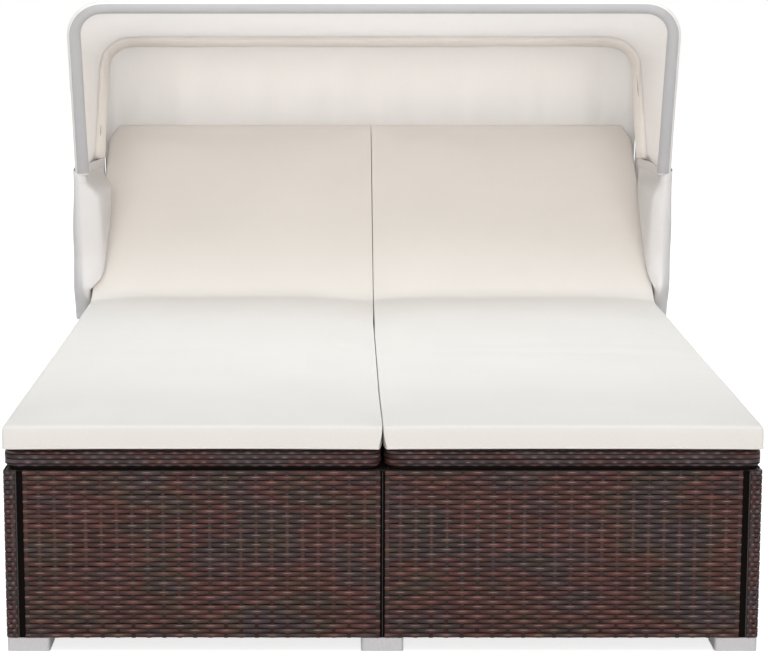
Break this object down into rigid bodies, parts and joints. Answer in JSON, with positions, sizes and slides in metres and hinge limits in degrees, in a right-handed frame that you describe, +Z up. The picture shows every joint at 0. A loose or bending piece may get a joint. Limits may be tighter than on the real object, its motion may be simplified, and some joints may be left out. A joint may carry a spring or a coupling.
{
  "type": "outdoor daybed with canopy",
  "caption": "Woven two-place daybed with separately reclining backrests on prop stays and a fabric hood on two folding hoops",
  "frame": {"origin": "centre of the bounding box, on the floor under the feet", "axes": "+X across the bed to the right as seen from the foot end, +Y from the foot end to the head end, +Z up"},
  "size_m": [1.3682, 2, 1.0843],
  "materials": {
    "weave": "flat woven synthetic rattan in mixed browns",
    "pad_fabric": "off-white plain woven outdoor cloth",
    "hood_fabric": "off-white tightly woven awning cloth",
    "frame_metal": "dark brown powder coat",
    "hoop_metal": "dark grey-brown powder coat",
    "zinc_steel": "zinc plated",
    "foot_plastic": "light grey moulded",
    "knob_plastic": "black moulded"
  },
  "bodies": {
    "base": {"base_frame": "frame_metal", "foot_front_left": "foot_plastic", "foot_front_middle": "foot_plastic", "foot_front_right": "foot_plastic", "foot_rear_left": "foot_plastic", "foot_rear_middle": "foot_plastic", "foot_rear_right": "foot_plastic", "front_panel_left": "weave", "front_panel_right": "weave", "rear_panel_left": "weave", "rear_panel_right": "weave", "side_panel_left": "weave", "side_panel_right": "weave", "corner_wrap_front_left": "weave", "corner_wrap_front_right": "weave", "corner_wrap_rear_left": "weave", "corner_wrap_rear_right": "weave", "seat_frame_left": "weave", "seat_frame_right": "weave", "seat_deck_left": "weave", "seat_deck_right": "weave", "seat_cushion_left": "pad_fabric", "seat_cushion_right": "pad_fabric", "hinge_bracket_left_inner": "frame_metal", "hinge_bracket_left_outer": "frame_metal", "hinge_bracket_right_inner": "frame_metal", "hinge_bracket_right_outer": "frame_metal", "hinge_rod_left": "zinc_steel", "hinge_rod_right": "zinc_steel", "notch_rack_left": "frame_metal", "notch_rack_right": "frame_metal", "hood_plate_left": "frame_metal", "hood_plate_right": "frame_metal", "hood_washer_left": "zinc_steel", "hood_washer_right": "zinc_steel", "hood_knob_left": "knob_plastic", "hood_knob_right": "knob_plastic", "hood_bolt_left": "zinc_steel", "hood_bolt_right": "zinc_steel"},
    "left_backrest": {"back_frame_left": "weave", "back_deck_left": "weave", "back_cushion_left": "pad_fabric"},
    "right_backrest": {"back_frame_right": "weave", "back_deck_right": "weave", "back_cushion_right": "pad_fabric"},
    "left_stay": {"prop_stay_left": "zinc_steel"},
    "right_stay": {"prop_stay_right": "zinc_steel"},
    "rear_hoop_body": {"rear_hoop": "hoop_metal", "rear_curtain": "hood_fabric", "rear_gusset_left": "hood_fabric", "rear_gusset_right": "hood_fabric"},
    "front_hoop_body": {"front_hoop": "hoop_metal", "roof_canopy": "hood_fabric", "side_flap_left": "hood_fabric", "side_flap_right": "hood_fabric"}
  },
  "joints": [
    {"name": "left_back_tilt", "type": "hinge", "parent": "base", "child": "left_backrest", "pos_m": [-0.325, 0.35, 0.3395], "axis": [1, 0, 0], "range_deg": [-36, 19]},
    {"name": "right_back_tilt", "type": "hinge", "parent": "base", "child": "right_backrest", "pos_m": [0.325, 0.35, 0.3395], "axis": [1, 0, 0], "range_deg": [-36, 19]},
    {"name": "left_stay_swing", "type": "hinge", "parent": "left_backrest", "child": "left_stay", "pos_m": [-0.325, 0.59122, 0.48385], "axis": [1, 0, 0], "range_deg": [-37.43, 70.92]},
    {"name": "right_stay_swing", "type": "hinge", "parent": "right_backrest", "child": "right_stay", "pos_m": [0.325, 0.59122, 0.48385], "axis": [1, 0, 0], "range_deg": [-37.43, 70.92]},
    {"name": "rear_hoop_fold", "type": "hinge", "parent": "base", "child": "rear_hoop_body", "pos_m": [0, 0.44, 0.31], "axis": [-1, 0, 0], "range_deg": [0, 40], "deforming": ["rear_curtain", "rear_gusset_left", "rear_gusset_right"]},
    {"name": "front_hoop_fold", "type": "hinge", "parent": "rear_hoop_body", "child": "front_hoop_body", "pos_m": [0, 0.44, 0.31], "axis": [-1, 0, 0], "range_deg": [0, 41], "deforming": ["roof_canopy", "side_flap_left", "side_flap_right"]}
  ],
  "couplings": [
    {"joint": "left_stay_swing", "follows": "left_back_tilt", "ratio": -1.97},
    {"joint": "right_stay_swing", "follows": "right_back_tilt", "ratio": -1.97}
  ]
}
